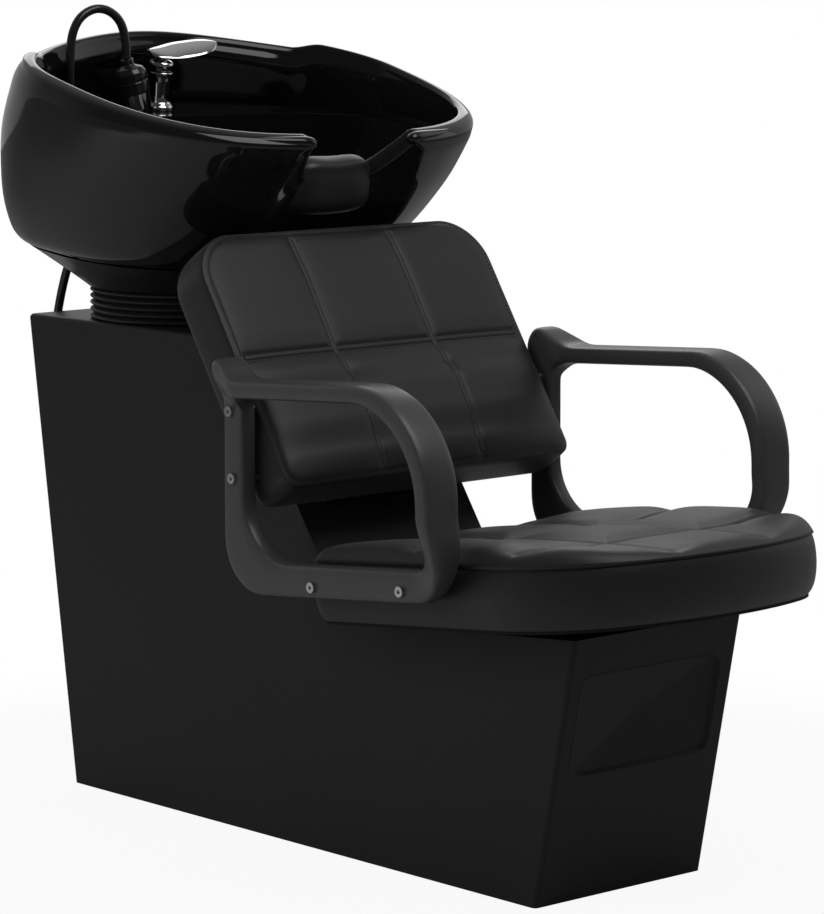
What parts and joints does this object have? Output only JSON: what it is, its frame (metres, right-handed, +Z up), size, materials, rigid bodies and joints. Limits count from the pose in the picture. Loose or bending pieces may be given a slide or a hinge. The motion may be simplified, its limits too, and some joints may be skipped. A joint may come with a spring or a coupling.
{
  "type": "backwash unit",
  "caption": "Hair-washing chair: sewn seat and reclined back on a moulded pedestal with loop arms and a tilting shampoo bowl with mixer tap and hand sprayer.",
  "frame": {"origin": "on the floor under the middle of the unit, free hoses left out", "axes": "+Z up; the sitter faces -Y; the bowl is at +Y"},
  "size_m": [0.62, 1.2365, 1.0616],
  "materials": {
    "pedestal": "moulded, satin gloss",
    "upholstery": "grained artificial leather, sewn",
    "arm": "moulded, satin",
    "bowl": "glossy",
    "cover": "moulded, satin gloss",
    "rubber": "matt",
    "steel": "powder coated",
    "zinc": "zinc plated",
    "board": "plywood",
    "chrome": "polished",
    "brass": "turned",
    "sprayer": "glossy",
    "hose": "smooth sleeve",
    "drain": "moulded"
  },
  "bodies": {
    "base": {"base_shell": "pedestal", "rear_panel": "pedestal", "rear_panel_screws": "zinc", "base_frame": "steel", "seat_bracket": "steel", "seat_board": "board", "seat_cushion": "upholstery", "backrest_board": "board", "backrest_cushion": "upholstery", "back_brackets": "steel", "armrest_right": "arm", "armrest_left": "arm", "arm_bolts": "zinc", "arm_spacers": "zinc", "bellows": "rubber", "tilt_bracket": "steel", "drain_hose": "drain", "drain_outlet": "drain", "rear_grommet": "rubber", "supply_hose": "hose"},
    "bowl": {"bowl_shell": "bowl", "bowl_lower_cover": "cover", "pivot_pins": "zinc", "tilt_yoke": "steel", "drain_strainer": "chrome", "drain_nut": "drain", "neck_rest": "rubber", "tap_body": "chrome", "tap_nut": "brass", "sprayer_holder": "chrome", "hose_guide": "rubber", "sprayer_hose": "hose"},
    "tap_hub": {"tap_hub": "chrome"},
    "tap_lever": {"tap_lever": "chrome"},
    "sprayer": {"sprayer_head": "sprayer"}
  },
  "joints": [
    {"name": "bowl_tilt", "type": "hinge", "parent": "base", "child": "bowl", "pos_m": [0, 0.4023, 0.664], "axis": [1, 0, 0], "range_deg": [-12, 0], "deforming": ["bellows", "drain_hose", "supply_hose"]},
    {"name": "tap_swivel", "type": "hinge", "parent": "bowl", "child": "tap_hub", "pos_m": [0.006, 0.48204, 0.96977], "axis": [0, -0.1191, 0.9929], "range_deg": [-100, 8]},
    {"name": "tap_lift", "type": "hinge", "parent": "tap_hub", "child": "tap_lever", "pos_m": [0.006, 0.48, 0.98684], "axis": [-0.2079, -0.9712, -0.1165], "range_deg": [0, 22]},
    {"name": "sprayer_pull", "type": "slide", "parent": "bowl", "child": "sprayer", "axis": [-0.2419, 0, 0.9703], "range_m": [0, 0.06], "deforming": ["sprayer_hose"]}
  ]
}
